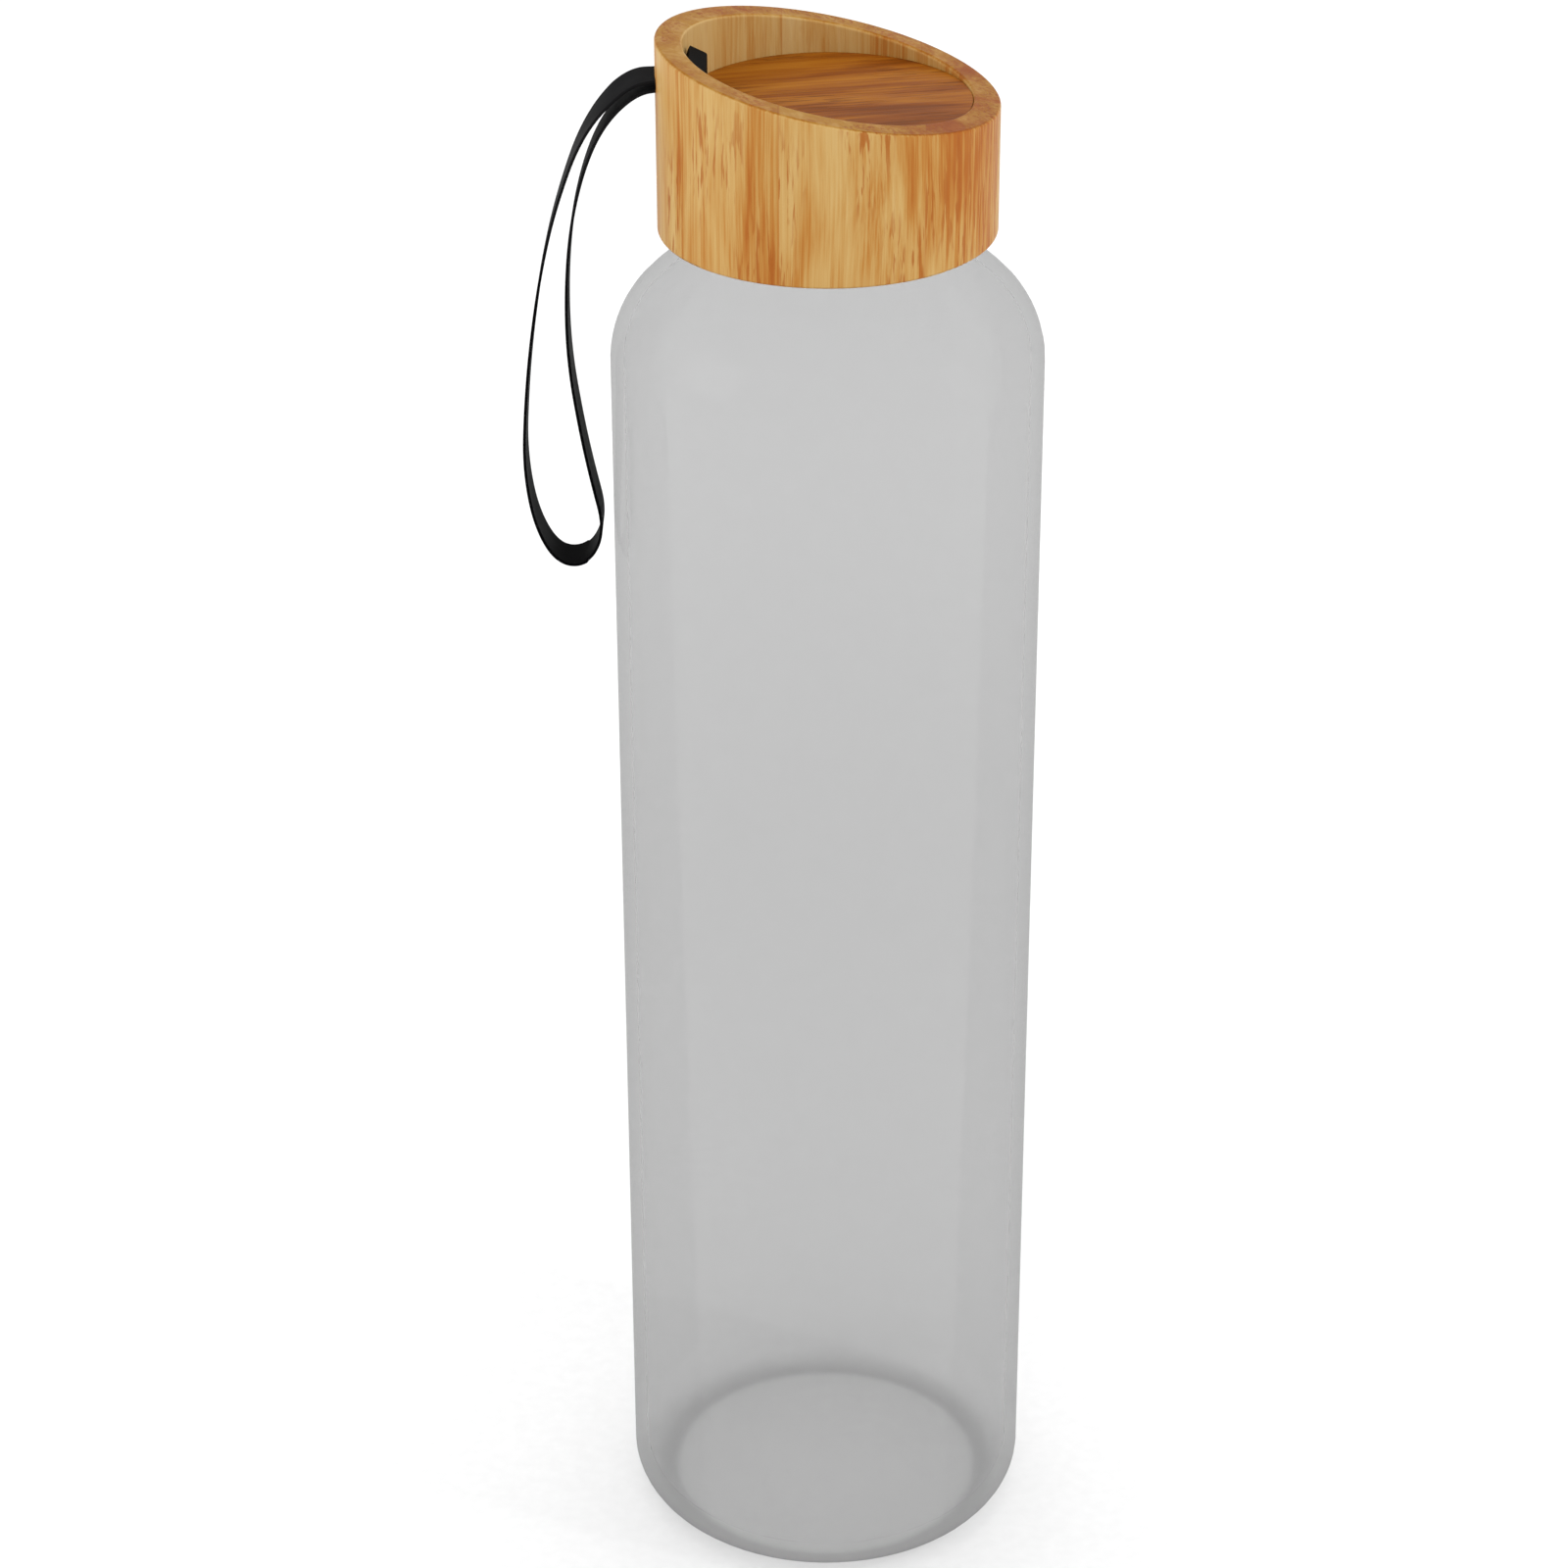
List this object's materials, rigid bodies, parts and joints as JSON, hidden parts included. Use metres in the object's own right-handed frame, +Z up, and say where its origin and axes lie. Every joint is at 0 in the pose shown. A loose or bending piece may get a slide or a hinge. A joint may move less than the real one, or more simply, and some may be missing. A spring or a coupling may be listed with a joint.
{
  "type": "glass water bottle",
  "caption": "Tall round glass water bottle with a slanted wooden screw lid and a flat black carry strap looped through the lid wall.",
  "frame": {"origin": "centre of the base on the surface the bottle stands on", "axes": "+Z up along the bottle's axis; -X towards the strap, the high side of the slanted lid; +X towards the lid's low side; +Y away from the front view"},
  "size_m": [0.0905, 0.075, 0.2932],
  "materials": {
    "glass": "clear, slightly grey glass, smooth",
    "wood_side": "oiled satin, upright grain",
    "wood_floor": "oiled satin, grain across the disc",
    "liner": "matte moulded",
    "seal": "translucent silicone, matte",
    "strap": "smooth matte black",
    "stopper": "smooth matte black"
  },
  "bodies": {
    "bottle": {"glass_body": "glass"},
    "seal": {"seal_ring": "seal"},
    "lid": {"lid_ring": "wood_side", "lid_floor": "wood_floor", "lid_liner": "liner", "strap_root": "strap", "strap_stop": "stopper"},
    "strap": {"strap_loop": "strap"}
  },
  "joints": [
    {"name": "lid_lift", "type": "slide", "parent": "bottle", "child": "seal", "axis": [0, 0, 1], "range_m": [0, 0.0201]},
    {"name": "lid_turn", "type": "hinge", "parent": "seal", "child": "lid", "pos_m": [0, 0, 0.268], "axis": [0, 0, 1], "range_deg": [0, 1800]},
    {"name": "strap_swing", "type": "hinge", "parent": "lid", "child": "strap", "pos_m": [-0.0306, 0, 0.28575], "axis": [0, 1, 0], "range_deg": [0, 80]}
  ],
  "couplings": [
    {"joint": "lid_lift", "follows": "lid_turn", "m_per_rad": 0.00063662}
  ]
}
